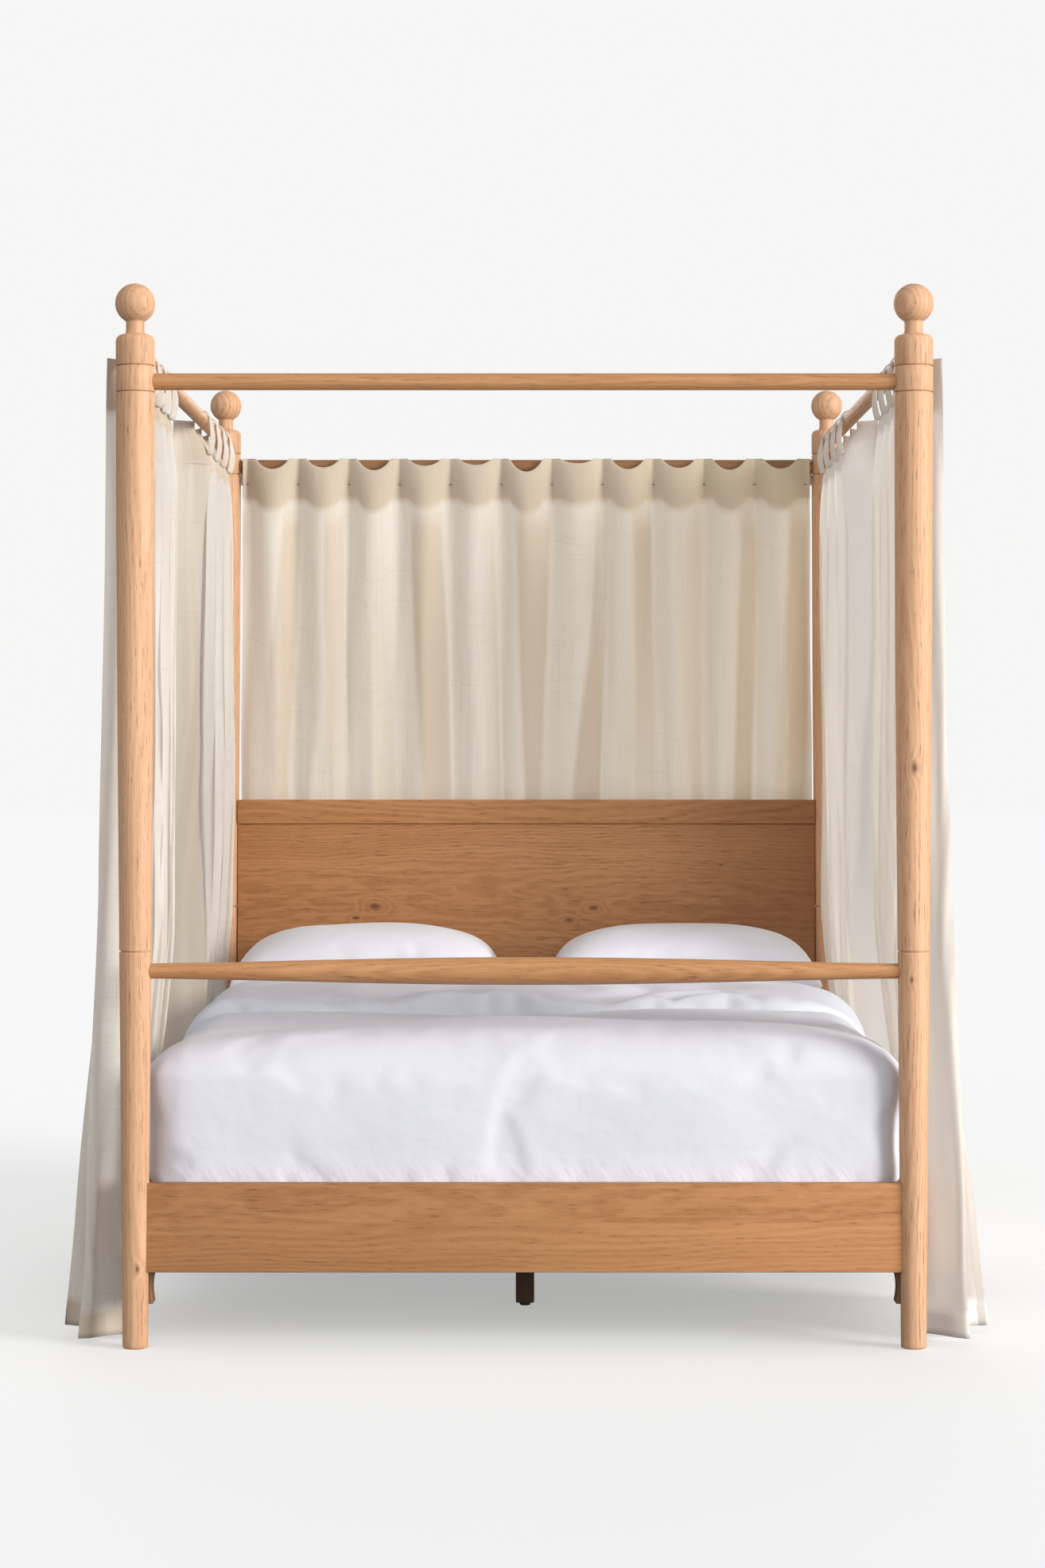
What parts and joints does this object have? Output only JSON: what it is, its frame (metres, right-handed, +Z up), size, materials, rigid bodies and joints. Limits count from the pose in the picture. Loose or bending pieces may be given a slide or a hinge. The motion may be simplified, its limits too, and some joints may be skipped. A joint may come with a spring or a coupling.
{
  "type": "four poster canopy bed",
  "caption": "Queen-size wooden four poster canopy bed with ball finials, round rails, plank boards, white bedding and tab-hung linen curtains.",
  "frame": {"origin": "on the floor under the middle of the bed, midway between the four post axes", "axes": "+Z up, +Y from the foot end to the headboard, +X to the right of someone looking at the bed from its foot"},
  "size_m": [1.899, 2.2128, 2.198],
  "materials": {
    "oak": "light oiled oak, satin",
    "base_wood": "stained softwood, matt",
    "glide": "moulded plastic, matt",
    "ticking": "quilted white ticking",
    "cotton": "washed white cotton percale",
    "linen": "natural linen, plain weave, unlined"
  },
  "bodies": {
    "root": {"lower_post_front_left": "oak", "upper_post_front_left": "oak", "corner_collar_front_left": "oak", "ball_finial_front_left": "oak", "lower_post_front_right": "oak", "upper_post_front_right": "oak", "corner_collar_front_right": "oak", "ball_finial_front_right": "oak", "lower_post_rear_left": "oak", "upper_post_rear_left": "oak", "corner_collar_rear_left": "oak", "ball_finial_rear_left": "oak", "lower_post_rear_right": "oak", "upper_post_rear_right": "oak", "corner_collar_rear_right": "oak", "ball_finial_rear_right": "oak", "canopy_rail_front": "oak", "canopy_rail_rear": "oak", "canopy_rail_left": "oak", "canopy_rail_right": "oak", "foot_rail": "oak", "footboard": "oak", "headboard_bottom_rail": "oak", "headboard_panel": "oak", "headboard_top_rail": "oak", "side_rail_left": "oak", "side_rail_right": "oak", "slat_cleat_left": "base_wood", "slat_cleat_right": "base_wood", "slat_mat": "base_wood", "center_beam": "base_wood", "center_leg_front": "base_wood", "center_leg_glide_front": "glide", "center_leg_rear": "base_wood", "center_leg_glide_rear": "glide", "corner_bracket_front_left": "base_wood", "corner_bracket_front_right": "base_wood", "corner_bracket_rear_left": "base_wood", "corner_bracket_rear_right": "base_wood", "mattress": "ticking", "duvet": "cotton", "pillow_left": "cotton", "pillow_right": "cotton", "curtain_back": "linen", "curtain_front_left_1": "linen", "curtain_front_right_1": "linen", "curtain_rear_left_1": "linen", "curtain_rear_right_1": "linen"},
    "curtain_front_left_tab_2": {"curtain_front_left_2": "linen"},
    "curtain_front_left_tab_3": {"curtain_front_left_3": "linen"},
    "curtain_front_left_lead": {"curtain_front_left_4": "linen"},
    "curtain_front_right_tab_2": {"curtain_front_right_2": "linen"},
    "curtain_front_right_tab_3": {"curtain_front_right_3": "linen"},
    "curtain_front_right_lead": {"curtain_front_right_4": "linen"},
    "curtain_rear_left_tab_2": {"curtain_rear_left_2": "linen"},
    "curtain_rear_left_tab_3": {"curtain_rear_left_3": "linen"},
    "curtain_rear_left_lead": {"curtain_rear_left_4": "linen"},
    "curtain_rear_right_tab_2": {"curtain_rear_right_2": "linen"},
    "curtain_rear_right_tab_3": {"curtain_rear_right_3": "linen"},
    "curtain_rear_right_lead": {"curtain_rear_right_4": "linen"}
  },
  "joints": [
    {"name": "draw_curtain_front_left", "type": "slide", "parent": "root", "child": "curtain_front_left_lead", "axis": [0, 1, 0], "range_m": [-0.05, 0.38]},
    {"name": "draw_curtain_front_right", "type": "slide", "parent": "root", "child": "curtain_front_right_lead", "axis": [0, 1, 0], "range_m": [-0.05, 0.38]},
    {"name": "draw_curtain_rear_left", "type": "slide", "parent": "root", "child": "curtain_rear_left_lead", "axis": [0, -1, 0], "range_m": [-0.05, 0.38]},
    {"name": "draw_curtain_rear_right", "type": "slide", "parent": "root", "child": "curtain_rear_right_lead", "axis": [0, -1, 0], "range_m": [-0.05, 0.38]},
    {"name": "follow_curtain_front_left_2", "type": "slide", "parent": "root", "child": "curtain_front_left_tab_2", "axis": [0, 1, 0], "range_m": [-0.014, 0.0995]},
    {"name": "follow_curtain_front_left_3", "type": "slide", "parent": "root", "child": "curtain_front_left_tab_3", "axis": [0, 1, 0], "range_m": [-0.038, 0.2825]},
    {"name": "follow_curtain_front_right_2", "type": "slide", "parent": "root", "child": "curtain_front_right_tab_2", "axis": [0, 1, 0], "range_m": [-0.014, 0.0995]},
    {"name": "follow_curtain_front_right_3", "type": "slide", "parent": "root", "child": "curtain_front_right_tab_3", "axis": [0, 1, 0], "range_m": [-0.038, 0.2825]},
    {"name": "follow_curtain_rear_left_2", "type": "slide", "parent": "root", "child": "curtain_rear_left_tab_2", "axis": [0, -1, 0], "range_m": [-0.014, 0.0995]},
    {"name": "follow_curtain_rear_left_3", "type": "slide", "parent": "root", "child": "curtain_rear_left_tab_3", "axis": [0, -1, 0], "range_m": [-0.038, 0.2825]},
    {"name": "follow_curtain_rear_right_2", "type": "slide", "parent": "root", "child": "curtain_rear_right_tab_2", "axis": [0, -1, 0], "range_m": [-0.014, 0.0995]},
    {"name": "follow_curtain_rear_right_3", "type": "slide", "parent": "root", "child": "curtain_rear_right_tab_3", "axis": [0, -1, 0], "range_m": [-0.038, 0.2825]}
  ],
  "couplings": [
    {"joint": "follow_curtain_front_left_2", "follows": "draw_curtain_front_left", "ratio": 0.2593},
    {"joint": "follow_curtain_front_left_3", "follows": "draw_curtain_front_left", "ratio": 0.7407},
    {"joint": "follow_curtain_front_right_2", "follows": "draw_curtain_front_right", "ratio": 0.2593},
    {"joint": "follow_curtain_front_right_3", "follows": "draw_curtain_front_right", "ratio": 0.7407},
    {"joint": "follow_curtain_rear_left_2", "follows": "draw_curtain_rear_left", "ratio": 0.2593},
    {"joint": "follow_curtain_rear_left_3", "follows": "draw_curtain_rear_left", "ratio": 0.7407},
    {"joint": "follow_curtain_rear_right_2", "follows": "draw_curtain_rear_right", "ratio": 0.2593},
    {"joint": "follow_curtain_rear_right_3", "follows": "draw_curtain_rear_right", "ratio": 0.7407}
  ]
}
